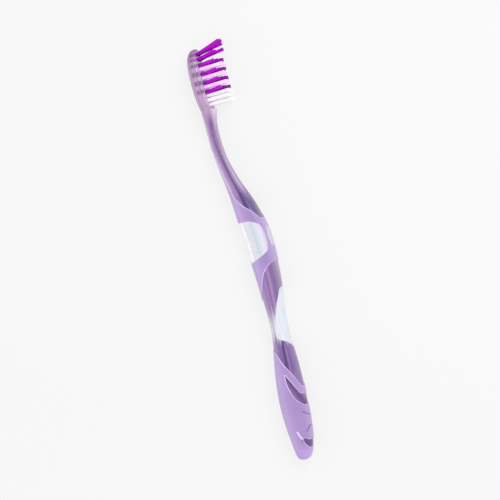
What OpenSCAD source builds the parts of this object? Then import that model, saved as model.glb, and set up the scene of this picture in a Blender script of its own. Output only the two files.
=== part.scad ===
// Manual toothbrush, lying on its side as it would on a shelf.
// +X runs from the butt to the head, -Y is the bristle side and +Z is up.
// The origin is under the middle of the brush, on the surface that it lies on.

/* [Handle] */
// Length of the handle and neck, from the butt to where the neck widens into the head
handle_len = 156; // [140:1:170]
// Depth of the handle, front to back, where the palm holds it
grip_d = 12.8; // [11.5:0.1:14.5]
// Width of the handle across its two flat thumb facets
grip_w = 13; // [11.5:0.1:15]
// How far the thumb rest's middle line stands in front of the base line
bend_h = 7.8; // [6:0.1:9]

/* [Head] */
// Length of the head, from the neck to the toe
head_len = 35.2; // [34.5:0.1:40]
// Width of the head
head_w = 12; // [11.6:0.1:14]
// Thickness of the head under its bristle face
head_t = 5.75; // [4.8:0.05:7]
// Height of the bristle face in front of the base line
face_rise = 1.15; // [0.5:0.05:2]

/* [Tufts] */
// Diameter of a tuft hole
hole_d = 1.75; // [1.5:0.05:1.8]
// Depth of a tuft hole along its own axis
hole_depth = 3; // [2.4:0.1:3.4]
// Diameter of a tuft at its cut end
tuft_tip_d = 1.76; // [1.5:0.02:1.8]
// Clearance around a tuft in its hole
tuft_gap = 0.05; // [0.02:0.01:0.1]
// Distance from the last row to the tip of the toe
toe_margin = 2.8; // [2.6:0.1:3.4]
// Distance between two rows
row_pitch = 2.06; // [2:0.02:2.2]
// Distance between the last three rows, at the toe
toe_pitch = 2.34; // [2.2:0.02:2.4]
// Distance between neighbouring tufts of one row
tuft_pitch = 2.3; // [2.2:0.02:2.4]
// Standing length of a white tuft
white_len = 10.5; // [9:0.1:13]
// Standing length of an inner coloured tuft
inner_len = 10.7; // [9:0.1:12.5]
// Standing length of an outer coloured tuft
outer_len = 7.7; // [6.5:0.1:9]
// Standing length of a tall tuft at the toe
toe_len = 12.3; // [10:0.1:13]
// Standing length of the outer tufts of the row before the last
toe_outer_len = 8.4; // [7:0.1:9.5]
// How much nearer to the heel the outer coloured tufts stand than their row
outer_setback = 0.35; // [0:0.05:0.5]
// Lean of the inner coloured tufts towards the heel
inner_lean = 2.5; // [0:0.5:3]
// Lean of the outer coloured tufts towards the toe
outer_lean = 4.5; // [0:0.5:5]
// Lean of the toe row's outer tufts
toe_lean = 17.5; // [14:0.5:20]

/* [Anchors] */
// Thickness of an anchor plate
anchor_t = 0.22; // [0.15:0.01:0.3]
// Height of an anchor plate along its tuft
anchor_h = 1.45; // [1.2:0.05:1.6]
// Thickness of the fold of bristle under an anchor
fold_h = 0.4; // [0.3:0.05:0.6]

/* [Soft grips] */
// Thickness of the soft grips
grip_t = 1.2; // [0.9:0.05:1.4]
// How far the soft grips stand above the hard plastic beside them
grip_proud = 0.25; // [0.1:0.05:0.4]
// Width of the two short grooves in the palm grip
groove_w = 0.6; // [0.4:0.05:0.9]
// Depth of those grooves
groove_depth = 0.45; // [0.3:0.05:0.6]

/* [Joined plastics] */
// Clearance between two moulded pieces
shot_gap = 0.05; // [0.02:0.01:0.1]
// Diameter of the thumb block's tenon in the neck
neck_tenon_d = 3.2; // [2.4:0.1:3.6]
// Diameter of the thumb block's tenon in the handle core
core_tenon_d = 3.6; // [2.8:0.1:4.2]
// Half the width of the opening in the front of the thumb grip
front_opening_w = 4.3; // [3.6:0.1:4.6]

/* [Hidden] */
TUFT_ROWS = 12;
WHITE_HEEL_ROWS = 3;
// Rows up to here are evenly spaced, and the rest lean to the toe
EVEN_ROWS = 10;

// Lean of the inner and outer tufts of the last two rows, of the toe's own lean
TOE_LEAN_SHARES = [[0.45, 0.76], [0.52, 1]];
// Spacing of the last row's tufts, of the other rows' own
TOE_SPREAD_SHARE = 0.9;

// How finely the moulded shapes are divided, around and along
AROUND = 36;
SPLITS = 3;
EDGE_SPLITS = 3;

// Sections of the handle: place along it, middle and depth and width as shares, and squareness
HANDLE_SHARES = [
    [0, 0.15, 0.17, 0.34, 2.2],
    [0.004, 0.155, 0.35, 0.53, 2.2],
    [0.013, 0.165, 0.53, 0.66, 2.3],
    [0.032, 0.215, 0.68, 0.77, 2.3],
    [0.051, 0.255, 0.77, 0.84, 2.3],
    [0.077, 0.28, 0.866, 0.91, 2.3],
    [0.103, 0.295, 0.93, 0.95, 2.3],
    [0.128, 0.31, 0.977, 0.975, 2.3],
    [0.167, 0.335, 1, 0.995, 2.3],
    [0.205, 0.39, 0.995, 0.995, 2.3],
    [0.244, 0.445, 0.95, 0.96, 2.3],
    [0.282, 0.515, 0.875, 0.92, 2.3],
    [0.32, 0.575, 0.77, 0.865, 2.25],
    [0.359, 0.635, 0.69, 0.82, 2.2],
    [0.397, 0.69, 0.663, 0.8, 2.2],
    [0.436, 0.725, 0.7, 0.81, 2.3],
    [0.474, 0.765, 0.765, 0.845, 2.5],
    [0.513, 0.81, 0.84, 0.89, 2.6],
    [0.551, 0.83, 0.865, 0.945, 3.2],
    [0.59, 0.825, 0.885, 0.98, 4],
    [0.628, 0.81, 0.915, 0.985, 4.5],
    [0.667, 0.78, 0.915, 0.985, 4.5],
    [0.705, 0.7, 0.86, 0.965, 4.2],
    [0.737, 0.605, 0.815, 0.88, 3.5],
    [0.769, 0.49, 0.755, 0.745, 2.8],
    [0.801, 0.34, 0.65, 0.615, 2.4],
    [0.833, 0.183, 0.555, 0.53, 2.3],
    [0.872, 0.02, 0.48, 0.475, 2.3],
    [0.91, -0.096, 0.437, 0.452, 2.3],
    [0.955, -0.163, 0.433, 0.45, 2.2],
    [1, -0.152, 0.432, 0.46, 2.2]
];
// Sections of the head: place along it, front and back of its face as shares of its thickness,
// width and squareness
HEAD_SHARES = [
    [0.114, 0.2, 0.85, 0.7, 2.6],
    [0.209, 0.3, 0.83, 0.9, 3],
    [0.3, 0.16, 0.89, 0.985, 3.5],
    [0.4, 0.1, 0.96, 0.995, 3.5],
    [0.54, 0.1, 1, 1, 3.5],
    [0.68, 0.1, 0.98, 0.99, 3.5],
    [0.795, 0.1, 0.92, 0.955, 3.5],
    [0.88, 0.1, 0.82, 0.87, 3.4],
    [0.937, 0.09, 0.67, 0.76, 3.2],
    [0.974, 0.07, 0.5, 0.6, 3],
    [0.992, 0.04, 0.36, 0.43, 2.8],
    [1, 0, 0.24, 0.28, 2.6]
];
BACK_SHARE = -0.3;
FRONT_SHARE = 1.3;

// Edges of the soft grips and of the windows, seen from the side:
// place along the handle, and height above its back as a share of its depth there
PALM_EDGE_SHARES = [
    [0.208, FRONT_SHARE], [0.208, 1], [0.216, 0.93], [0.232, 0.85], [0.251, 0.74], [0.27, 0.58],
    [0.289, 0.42], [0.311, 0.25], [0.326, 0.05], [0.331, BACK_SHARE]
];
THUMB_LOW_SHARES = [
    [0.446, BACK_SHARE], [0.467, -0.04], [0.489, 0.06], [0.505, 0.18], [0.529, 0.31], [0.549, 0.45],
    [0.563, 0.62], [0.571, 0.77], [0.577, 0.92], [0.582, FRONT_SHARE]
];
THUMB_HIGH_SHARES = [
    [0.702, FRONT_SHARE], [0.707, 0.99], [0.717, 0.925], [0.733, 0.78], [0.75, 0.54], [0.77, 0.35],
    [0.79, 0.255], [0.813, 0.195], [0.835, 0.175], [0.865, 0.16], [0.897, 0.135], [0.93, 0.05],
    [0.95, BACK_SHARE]
];
SIDE_WINDOW_SHARES = [
    [0.584, BACK_SHARE], [0.586, 0.1], [0.59, 0.24], [0.596, 0.45], [0.603, 0.68], [0.61, 0.84],
    [0.621, 0.91], [0.641, 0.935], [0.667, 0.93], [0.685, 0.89], [0.695, 0.78], [0.702, 0.58],
    [0.706, 0.34], [0.707, 0.1], [0.708, BACK_SHARE]
];
FRONT_WINDOW_SHARES = [
    [0.323, FRONT_SHARE], [0.325, 1], [0.333, 0.95], [0.343, 0.83], [0.349, 0.67], [0.355, 0.5],
    [0.363, 0.39], [0.378, 0.36], [0.397, 0.41], [0.423, 0.54], [0.449, 0.68], [0.481, 0.86],
    [0.5, 0.96], [0.512, FRONT_SHARE]
];
PALM_WINDOW_SHARES = [
    [[0.158, FRONT_SHARE], [0.155, 0.99], [0.159, 0.89], [0.18, 0.675], [0.218, 0.5], [0.25, 0.455]],
    [[0.254, 0.47], [0.232, 0.64], [0.203, 0.82], [0.19, 0.93], [0.188, FRONT_SHARE]]
];
BUTT_WINDOW_SHARES = [
    [[0.034, FRONT_SHARE], [0.032, 0.97], [0.036, 0.86], [0.045, 0.73], [0.052, 0.67]],
    [[0.063, 0.66], [0.065, 0.73], [0.06, 0.83], [0.056, 0.93], [0.055, FRONT_SHARE]]
];
GROOVE_SHARES = [
    [[0.08, 0.845], [0.0995, 1.02]],
    [[0.1375, 0.85], [0.1225, 1.02]]
];
// Half of the thumb block's eight-sided section: height above its back, and width
BLOCK_SHARES = [[0, 0.68], [0.15, 1], [0.97, 1], [1, 0.86]];
// Where the thumb block meets the core and the neck, and how far its tenons reach into them
BLOCK_START_SHARE = 0.583;
BLOCK_END_SHARE = 0.709;
CORE_TENON_SHARE = 0.513;
NECK_TENON_SHARE = 0.782;
// Where the thumb grip's front opening is, and half its length
OPENING_PLACE_SHARE = 0.651;
OPENING_LENGTH_SHARE = 0.031;
// Where the neck's surface has risen flush with the grip's, before the head starts
FLUSH_SHARE = 0.1;
// Run and rise of the step from the bristle face to the neck, of the head's thickness
STEP_RUN_SHARE = 0.12;
STEP_RISE_SHARE = 0.5;
// How far the thumb block is sunk under the grip, so that its corners clear the grip's round inside
BLOCK_SUNK_SHARE = 1.25;

half_grip_w = grip_w / 2;
block_start = BLOCK_START_SHARE * handle_len;
block_end = BLOCK_END_SHARE * handle_len;
brush_len = handle_len + head_len;
bed_t = grip_t + shot_gap;
// Longer than any cut that it is used for
overrun = 2 * grip_d;

// Points on a smooth curve through the given ones, each stretch divided into n
function between(a, b, c, d, t) =
    b + (c - a) * t / 2 + (2 * a - 5 * b + 4 * c - d) * t * t / 2
    + (3 * b - a - 3 * c + d) * t * t * t / 2;
function smooth(points, n) = concat(
    [
        for (i = [0:len(points) - 2])
            for (k = [0:n - 1])
                between(
                    points[max(i - 1, 0)], points[i], points[i + 1],
                    points[min(i + 2, len(points) - 1)], k / n
                )
    ],
    [points[len(points) - 1]]
);

// Each section as place along the brush, middle, half depth, half width and squareness
SECTIONS = smooth(
    concat(
        [
            for (s = HANDLE_SHARES)
                [s[0] * handle_len, s[1] * bend_h, s[2] * grip_d / 2, s[3] * half_grip_w, s[4]]
        ],
        [
            for (s = HEAD_SHARES)
                [
                    handle_len + s[0] * head_len, face_rise + (s[1] - s[2]) * head_t / 2,
                    (s[1] + s[2]) * head_t / 2, s[3] * head_w / 2, s[4]
                ]
        ]
    ),
    SPLITS
);
function column(k) = [for (s = SECTIONS) [s[0], s[k]]];
MIDDLES = column(1);
DEPTHS = column(2);
WIDTHS = column(3);
SQUARES = column(4);
function middle_at(x) = lookup(x, MIDDLES);
function depth_at(x) = lookup(x, DEPTHS);
function width_at(x) = lookup(x, WIDTHS);
function section_at(x) = [x, middle_at(x), depth_at(x), width_at(x), lookup(x, SQUARES)];

// Tufts of a row: how many, where, how long and how much they lean
function coloured(row) = row > WHITE_HEEL_ROWS && (row % 2 == 0 || row > EVEN_ROWS);
function tuft_count(row) = row % 2 == 0 && row <= EVEN_ROWS ? 4 : 3;
function row_x(row) =
    brush_len - toe_margin - max(EVEN_ROWS - row, 0) * row_pitch
    - (TUFT_ROWS - max(row, EVEN_ROWS)) * toe_pitch;
function tuft_x(row, j) =
    row_x(row) - (coloured(row) && row <= EVEN_ROWS && is_outer(row, j) ? outer_setback : 0);
function tuft_z(row, j) =
    (j - (tuft_count(row) - 1) / 2) * tuft_pitch * (row == TUFT_ROWS ? TOE_SPREAD_SHARE : 1);
function is_outer(row, j) = j == 0 || j == tuft_count(row) - 1;
function tuft_lean(row, j) =
    !coloured(row) ? 0
    : row <= EVEN_ROWS ? (is_outer(row, j) ? outer_lean : -inner_lean)
    : toe_lean * TOE_LEAN_SHARES[row - EVEN_ROWS - 1][is_outer(row, j) ? 1 : 0];
function tuft_len(row, j) =
    !coloured(row) ? white_len
    : row <= EVEN_ROWS ? (is_outer(row, j) ? outer_len : inner_len)
    : row < TUFT_ROWS && is_outer(row, j) ? toe_outer_len : toe_len;

// The box of the whole brush, which puts the origin under its middle
tip_r = tuft_tip_d / 2;
function tip_x(row, lean, run) = row_x(row) + run * sin(lean) + tip_r * cos(lean);
function tip_f(lean, run) = face_rise + run * cos(lean) + tip_r * abs(sin(lean));
TUFTS = [for (row = [1:TUFT_ROWS], j = [0:tuft_count(row) - 1]) [row, j]];
head_end = max([for (t = TUFTS) tip_x(t[0], tuft_lean(t[0], t[1]), tuft_len(t[0], t[1]))]);
front_f = max([for (t = TUFTS) tip_f(tuft_lean(t[0], t[1]), tuft_len(t[0], t[1]))]);
back_f = min([for (s = SECTIONS) s[1] - s[2]]);

// Puts a shape that is drawn from the butt and the base line into the brush's own frame
module placed()
    translate([-max(head_end, brush_len) / 2, (front_f + back_f) / 2, half_grip_w]) children();

function power(v, n) = sign(v) * pow(abs(v), n);
function round_ring(s, inset) = [
    for (k = [0:AROUND - 1])
        let (t = k * 360 / AROUND)
            [
                s[0],
                -s[1] - (s[2] - inset) * power(cos(t), 2 / s[4]),
                (s[3] - inset) * power(sin(t), 2 / s[4])
            ]
];
function block_ring(s, inset, half_w) =
    let (
        half = [
            for (p = BLOCK_SHARES)
                [s[0], -s[1] - (2 * p[0] - 1) * (s[2] - inset), p[1] * half_w]
        ],
        last = len(half) - 1
    )
    concat(
        [for (k = [0:last]) half[last - k]],
        [for (p = half) [p[0], p[1], -p[2]]]
    );
// Sections from one place to another, with the outer surface's own ones between
function sections_between(first, last) = concat(
    [section_at(first)],
    [for (s = SECTIONS) if (s[0] > first + shot_gap && s[0] < last - shot_gap) s],
    [section_at(last)]
);

// A closed skin over rings of points, one face a strip
module skin(rings) {
    n = len(rings[0]);
    m = len(rings);
    polyhedron(
        points = [for (r = rings) each r],
        faces = concat(
            [[for (k = [0:n - 1]) n - 1 - k]],
            [
                for (i = [0:m - 2])
                    for (k = [0:n - 1])
                        let (a = i * n + k, b = i * n + (k + 1) % n)
                            each [[a, b, a + n], [b, b + n, a + n]]
            ],
            [[for (k = [0:n - 1]) (m - 1) * n + k]]
        )
    );
}
// The brush's own form between two places, sunk below its surface by inset
module form(first, last, inset)
    skin([for (s = sections_between(first, last)) round_ring(s, inset)]);

// A point of a side outline: place along the handle and height above its back, as shares
function side_point(p) =
    let (x = p[0] * handle_len) [x, -middle_at(x) - (2 * p[1] - 1) * depth_at(x)];
function side_line(shares) = smooth([for (p = shares) side_point(p)], EDGE_SPLITS);
module palm_outline()
    polygon(concat(side_line(PALM_EDGE_SHARES), [[-overrun, overrun], [-overrun, -overrun]]));
module thumb_outline()
    polygon(concat(side_line(THUMB_LOW_SHARES), side_line(THUMB_HIGH_SHARES)));
module outline(shares) polygon(side_line(shares));
module pointed_outlines()
    for (edges = [PALM_WINDOW_SHARES, BUTT_WINDOW_SHARES])
        polygon(concat(side_line(edges[0]), side_line(edges[1])));
// Cuts an outline straight through the width, grown or shrunk by a clearance
module through(gap) linear_extrude(height = overrun, center = true) offset(delta = gap) children();
module front_opening(gap)
    translate([OPENING_PLACE_SHARE * handle_len, -middle_at(OPENING_PLACE_SHARE * handle_len), 0])
        rotate([90, 0, 0])
            linear_extrude(height = overrun)
                offset(delta = gap)
                    scale([OPENING_LENGTH_SHARE * handle_len / front_opening_w, 1])
                        circle(r = front_opening_w, $fn = 32);

// A round tenon along the brush's middle line from one place to another
module tenon(first, last, d) {
    run = last - first;
    rise = middle_at(last) - middle_at(first);
    translate([first, -middle_at(first), 0])
        rotate([0, 90, -atan2(rise, run)])
            cylinder(h = norm([run, rise]), d = d, $fn = 32);
}

// A tuft's own frame: +Z out of the head, from the bristle face, with X along the brush
module at_tuft(row, j)
    translate([tuft_x(row, j), -face_rise, tuft_z(row, j)])
        rotate([90, 0, 0])
            rotate([0, tuft_lean(row, j), 0])
                children();
module plate_shape(gap) {
    size = [
        anchor_t + 2 * gap,
        sqrt(hole_d * hole_d - anchor_t * anchor_t) - tuft_gap + 2 * gap,
        anchor_h + 2 * gap
    ];
    translate([0, 0, fold_h + tuft_gap + anchor_h / 2 - hole_depth]) cube(size, center = true);
}

module head_and_neck() color("#8f7cc0")
    placed() difference() {
        union() {
            form(block_end + shot_gap, handle_len, bed_t);
            difference() {
                neck_skin();
                through(shot_gap) thumb_outline();
            }
        }
        tenon(block_end - shot_gap, NECK_TENON_SHARE * handle_len, neck_tenon_d + 2 * shot_gap);
        face_cut();
        for (row = [1:TUFT_ROWS], j = [0:tuft_count(row) - 1])
            at_tuft(row, j) tuft_hole();
    }
// A round blind hole, open through the bristle face
module tuft_hole()
    translate([0, 0, -hole_depth]) cylinder(h = hole_depth + head_t / 2, d = hole_d, $fn = 24);
// The neck and head, sunk beside the thumb grip and flush further on
module neck_skin()
    skin([
        for (s = sections_between(block_end + shot_gap, brush_len))
            let (left = (handle_len - s[0]) / (FLUSH_SHARE * handle_len))
                round_ring(s, grip_proud * max(0, min(1, left)))
    ]);
// Takes the head's crest down to its flat bristle face, with a steep step up to the neck
module face_cut() {
    heel = row_x(1) - hole_d;
    step_x = heel - STEP_RUN_SHARE * head_t;
    linear_extrude(height = overrun, center = true)
        polygon([
            [heel, -face_rise], [step_x, -face_rise - STEP_RISE_SHARE * head_t],
            [step_x, -face_rise - overrun], [brush_len + overrun, -face_rise - overrun],
            [brush_len + overrun, -face_rise]
        ]);
}

module handle_core() color("#5b3f9e")
    placed() difference() {
        union() {
            form(bed_t, block_start, bed_t);
            intersection() {
                form(bed_t, block_start, grip_proud);
                core_land();
            }
        }
        through(shot_gap) outline(FRONT_WINDOW_SHARES);
        tenon(CORE_TENON_SHARE * handle_len, block_start + shot_gap, core_tenon_d + 2 * shot_gap);
    }
// Where the core comes up to the surface between the soft grips and in the palm grip's windows
module core_land() {
    difference() {
        translate([0, -overrun, -overrun]) cube([block_start, 2 * overrun, 2 * overrun]);
        through(shot_gap) palm_outline();
        through(shot_gap) thumb_outline();
    }
    through(-shot_gap) pointed_outlines();
}

module thumb_block() color("#dfe6f5")
    placed() {
        start = block_start + shot_gap;
        rings = sections_between(start, block_end);
        sunk = BLOCK_SUNK_SHARE * bed_t;
        skin([for (s = rings) block_ring(s, sunk, s[3] - sunk)]);
        intersection() {
            skin([for (s = rings) block_ring(s, grip_proud, half_grip_w)]);
            through(-shot_gap) outline(SIDE_WINDOW_SHARES);
        }
        intersection() {
            skin([for (s = rings) block_ring(s, 0, front_opening_w)]);
            front_opening(-shot_gap);
        }
        tenon(CORE_TENON_SHARE * handle_len + shot_gap, start + bed_t, core_tenon_d);
        tenon(block_end - bed_t, NECK_TENON_SHARE * handle_len - shot_gap, neck_tenon_d);
    }

module front_window() color("#dfe6f5")
    placed() intersection() {
        form(bed_t, block_start, grip_proud);
        linear_extrude(height = overrun, center = true) outline(FRONT_WINDOW_SHARES);
    }

module thumb_grip() color("#b7a3da")
    placed() difference() {
        first = THUMB_LOW_SHARES[0][0] * handle_len;
        last = THUMB_HIGH_SHARES[len(THUMB_HIGH_SHARES) - 1][0] * handle_len;
        intersection() {
            form(first, last, 0);
            linear_extrude(height = overrun, center = true) thumb_outline();
        }
        form(first - shot_gap, last + shot_gap, grip_t);
        linear_extrude(height = overrun, center = true) outline(SIDE_WINDOW_SHARES);
        front_opening(0);
    }

module palm_grip() color("#b7a3da")
    placed() difference() {
        last = PALM_EDGE_SHARES[len(PALM_EDGE_SHARES) - 1][0] * handle_len;
        intersection() {
            form(0, last, 0);
            linear_extrude(height = overrun, center = true) palm_outline();
        }
        form(grip_t, last + shot_gap, grip_t);
        linear_extrude(height = overrun, center = true) pointed_outlines();
        for (ends = GROOVE_SHARES) groove(ends);
    }
// A short groove that runs from one side of the palm grip over its front to the other
module groove(ends) {
    difference() {
        linear_extrude(height = overrun, center = true)
            hull()
                for (p = ends) translate(side_point(p)) circle(d = groove_w, $fn = 16);
        form(0, PALM_EDGE_SHARES[0][0] * handle_len, groove_depth);
    }
}

module tuft_row(row) color(coloured(row) ? "#a312c8" : "#f4f4f8")
    placed() for (j = [0:tuft_count(row) - 1])
        at_tuft(row, j) difference() {
            union() {
                translate([0, 0, tuft_gap - hole_depth])
                    cylinder(h = hole_depth - tuft_gap, d = hole_d - 2 * tuft_gap, $fn = 24);
                cylinder(h = tuft_len(row, j), d1 = hole_d - 2 * tuft_gap, d2 = tuft_tip_d, $fn = 24);
            }
            plate_shape(tuft_gap / 2);
        }

module anchor_row(row) color("#b8b8bc")
    placed() for (j = [0:tuft_count(row) - 1]) at_tuft(row, j) plate_shape(0);

head_and_neck();
handle_core();
thumb_block();
front_window();
thumb_grip();
palm_grip();
for (row = [1:TUFT_ROWS])
    tuft_row(row);
for (row = [1:TUFT_ROWS])
    anchor_row(row);
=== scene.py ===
# %% [markdown]
# # Dressing a manual toothbrush
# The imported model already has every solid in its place: a see-through head and neck, a darker handle
# core, a clear thumb block, a clear front window, two soft grips, twelve rows of tufts and the small
# metal plates that hold them. This lesson gives each of them the surface and the finish that the eye
# sees. The frame is loaded first and never moved, so that the looks can't drift from the real sizes.

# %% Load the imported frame
import math
import bmesh
import bpy
import numpy as np
from mathutils import Matrix, Vector


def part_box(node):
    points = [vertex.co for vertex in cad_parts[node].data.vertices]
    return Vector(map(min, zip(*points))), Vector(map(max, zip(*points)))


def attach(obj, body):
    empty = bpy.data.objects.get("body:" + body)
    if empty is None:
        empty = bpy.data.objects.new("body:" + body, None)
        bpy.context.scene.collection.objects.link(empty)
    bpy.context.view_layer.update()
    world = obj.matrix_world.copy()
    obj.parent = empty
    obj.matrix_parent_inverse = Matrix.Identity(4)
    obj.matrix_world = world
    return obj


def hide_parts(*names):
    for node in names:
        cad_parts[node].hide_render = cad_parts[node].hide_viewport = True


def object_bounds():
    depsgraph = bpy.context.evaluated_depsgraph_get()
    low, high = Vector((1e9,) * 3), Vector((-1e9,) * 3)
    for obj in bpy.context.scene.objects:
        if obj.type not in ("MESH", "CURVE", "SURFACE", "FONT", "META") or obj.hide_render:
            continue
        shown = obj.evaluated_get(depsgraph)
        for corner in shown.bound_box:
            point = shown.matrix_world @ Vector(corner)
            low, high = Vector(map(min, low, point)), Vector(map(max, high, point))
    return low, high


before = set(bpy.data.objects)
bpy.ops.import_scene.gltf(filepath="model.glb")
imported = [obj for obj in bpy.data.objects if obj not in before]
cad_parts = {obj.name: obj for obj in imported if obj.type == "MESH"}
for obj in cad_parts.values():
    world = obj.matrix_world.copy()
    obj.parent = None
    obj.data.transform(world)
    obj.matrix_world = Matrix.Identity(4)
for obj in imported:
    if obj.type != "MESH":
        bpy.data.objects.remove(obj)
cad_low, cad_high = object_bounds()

print("CAD box in mm:", [round(1000 * side, 2) for side in cad_high - cad_low])

# %% [markdown]
# ## The brush's own measures
# A toothbrush is one long curved form, so every place on it is easiest to say in its own terms: how far
# from the butt, how far in front of a base line, and how far to the side. One function turns these
# millimetres into the frame's metres. The frame gives the butt, the floor and the bristle face, because
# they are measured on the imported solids.

# %% Driving sizes in millimetres, and one function that places them
MM = 0.001
handle_len = 156
head_len = 35.2
grip_d = 12.8
grip_w = 13
bend_h = 7.8
head_w = 12
head_t = 5.75
face_rise = 1.15
white_len = 10.5
brush_len = handle_len + head_len
butt_x = cad_low.x
mid_z = (cad_low.z + cad_high.z) / 2
base_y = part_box("tuft_row_1")[0].y + (face_rise + white_len) * MM


def placed(x, front, side):
    """Millimetres from the butt, in front of the base line and to the side, as points of the frame"""
    x, front, side = np.broadcast_arrays(x, front, side)
    return np.stack([butt_x + x * MM, base_y - front * MM, mid_z + side * MM], axis=-1)


print("Bristle face at y", round(base_y - face_rise * MM, 5), "m")

# %% [markdown]
# ## The form as a row of sections
# The handle could be sculpted, but a moulded handle is drawn by its maker as sections along a curve:
# the middle, the depth, the width and how square the section is. Written as shares of the driving sizes,
# they stay right when a size changes. A smooth curve through them gives as many sections as a fine skin
# needs, and both ends close in a small dome.

# %% Sections as shares of the sizes
HANDLE_SHARES = [
    [0, 0.15, 0.17, 0.34, 2.2], [0.004, 0.155, 0.35, 0.53, 2.2], [0.013, 0.165, 0.53, 0.66, 2.3],
    [0.032, 0.215, 0.68, 0.77, 2.3], [0.051, 0.255, 0.77, 0.84, 2.3], [0.077, 0.28, 0.866, 0.91, 2.3],
    [0.103, 0.295, 0.93, 0.95, 2.3], [0.128, 0.31, 0.977, 0.975, 2.3], [0.167, 0.335, 1, 0.995, 2.3],
    [0.205, 0.39, 0.995, 0.995, 2.3], [0.244, 0.445, 0.95, 0.96, 2.3], [0.282, 0.515, 0.875, 0.92, 2.3],
    [0.32, 0.575, 0.77, 0.865, 2.25], [0.359, 0.635, 0.69, 0.82, 2.2], [0.397, 0.69, 0.663, 0.8, 2.2],
    [0.436, 0.725, 0.7, 0.81, 2.3], [0.474, 0.765, 0.765, 0.845, 2.5], [0.513, 0.81, 0.84, 0.89, 2.6],
    [0.551, 0.83, 0.865, 0.945, 3.2], [0.59, 0.825, 0.885, 0.98, 4], [0.628, 0.81, 0.915, 0.985, 4.5],
    [0.667, 0.78, 0.915, 0.985, 4.5], [0.705, 0.7, 0.86, 0.965, 4.2], [0.737, 0.605, 0.815, 0.88, 3.5],
    [0.769, 0.49, 0.755, 0.745, 2.8], [0.801, 0.34, 0.65, 0.615, 2.4], [0.833, 0.183, 0.555, 0.53, 2.3],
    [0.872, 0.02, 0.48, 0.475, 2.3], [0.91, -0.096, 0.437, 0.452, 2.3], [0.955, -0.163, 0.433, 0.45, 2.2],
    [1, -0.152, 0.432, 0.46, 2.2],
]
HEAD_SHARES = [
    [0.114, 0.2, 0.85, 0.7, 2.6], [0.209, 0.3, 0.83, 0.9, 3], [0.3, 0.16, 0.89, 0.985, 3.5],
    [0.4, 0.1, 0.96, 0.995, 3.5], [0.54, 0.1, 1, 1, 3.5], [0.68, 0.1, 0.98, 0.99, 3.5],
    [0.795, 0.1, 0.92, 0.955, 3.5], [0.88, 0.1, 0.82, 0.87, 3.4], [0.937, 0.09, 0.67, 0.76, 3.2],
    [0.974, 0.07, 0.5, 0.6, 3], [0.992, 0.04, 0.36, 0.43, 2.8], [1, 0, 0.24, 0.28, 2.6],
]
print(len(HANDLE_SHARES), "sections of the handle and", len(HEAD_SHARES), "of the head")

# %% Sections along the brush
SPLITS = 6
DOME = 0.6


def smooth(rows, splits):
    """Points on a smooth curve through the given ones"""
    rows = np.array(rows, float)
    ends = np.vstack([rows[:1], rows, rows[-1:]])
    t = (np.arange(splits) / splits)[:, None]
    parts = []
    for a, b, c, d in zip(ends, ends[1:], ends[2:], ends[3:]):
        square = (2 * a - 5 * b + 4 * c - d) * t**2 / 2
        parts.append(b + (c - a) * t / 2 + square + (3 * b - a - 3 * c + d) * t**3 / 2)
    return np.vstack(parts + [rows[-1:]])


def head_station(share, front, back, width, square):
    """A head section, as place, middle, half depth, half width and squareness"""
    middle = face_rise + (front - back) * head_t / 2
    return [handle_len + share * head_len, middle, (front + back) * head_t / 2, width * head_w / 2, square]


stations = [
    [s * handle_len, m * bend_h, d * grip_d / 2, w * grip_w / 2, q] for s, m, d, w, q in HANDLE_SHARES
]
stations += [head_station(*row) for row in HEAD_SHARES]
SECTIONS = smooth(stations, SPLITS)


def section(x):
    """Middle, half depth, half width and squareness at a place along the brush"""
    x = np.asarray(x, float)
    middle, depth, width, square = [np.interp(x, SECTIONS[:, 0], SECTIONS[:, k]) for k in range(1, 5)]
    to_end = np.clip(np.minimum(x, brush_len - x) / DOME, 0, 1)
    dome = np.sqrt(np.clip(to_end * (2 - to_end), 0, 1))
    return middle, depth * dome, width * dome, square


print(len(SECTIONS), "sections on", brush_len, "mm")

# %% [markdown]
# ## From sections to skins
# Each section is a superellipse: near 2 it is an oval, and at 4 it has the flat sides of the thumb rest.
# Its points are spread evenly along its arc, which keeps the faces of a square section as even as those
# of a round one. Rings of such points, joined strip by strip, make a closed skin. Two rings are already
# enough for a bar or a prism, so one function makes every skin of the brush.

# %% Rings of points
QUARTER = 16
FINE_ARC = 400


def quarter_arc(square):
    """A quarter of a unit superellipse, its points evenly spread"""
    t = np.linspace(0, math.pi / 2, FINE_ARC)
    front = np.clip(np.cos(t), 0, 1) ** (2 / square)
    side = np.sin(t) ** (2 / square)
    run = np.concatenate([[0], np.cumsum(np.hypot(np.diff(front), np.diff(side)))])
    even = np.linspace(0, run[-1], QUARTER + 1)
    return np.interp(even, run, front), np.interp(even, run, side)


def unit_ring(square):
    """The whole unit superellipse, from the front by one side to the back and round again"""
    front, side = quarter_arc(square)
    there, back = slice(0, QUARTER), slice(QUARTER, 0, -1)
    fronts = np.concatenate([front[there], -front[back], -front[there], front[back]])
    sides = np.concatenate([side[there], side[back], -side[there], -side[back]])
    return fronts, sides


def rings(xs, inset=0):
    """Rings of the brush's form at these places, sunk by inset"""
    middle, depth, width, square = section(xs)
    inset = np.broadcast_to(inset, np.shape(xs))
    grid = []
    for x, m, d, w, q, i in zip(xs, middle, depth, width, square, inset):
        front, side = unit_ring(q)
        grid.append(placed(x, m + max(d - i, 0) * front, max(w - i, 0) * side))
    return np.array(grid)


def places(first, last):
    """Places along the brush from first to last, with the form's own sections between"""
    between = [x for x in SECTIONS[:, 0] if first < x < last]
    return np.array([first, *between, last])


print(4 * QUARTER, "points a ring")

# %% Skins over rings
MERGE_REACH = MM / 1000


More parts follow.
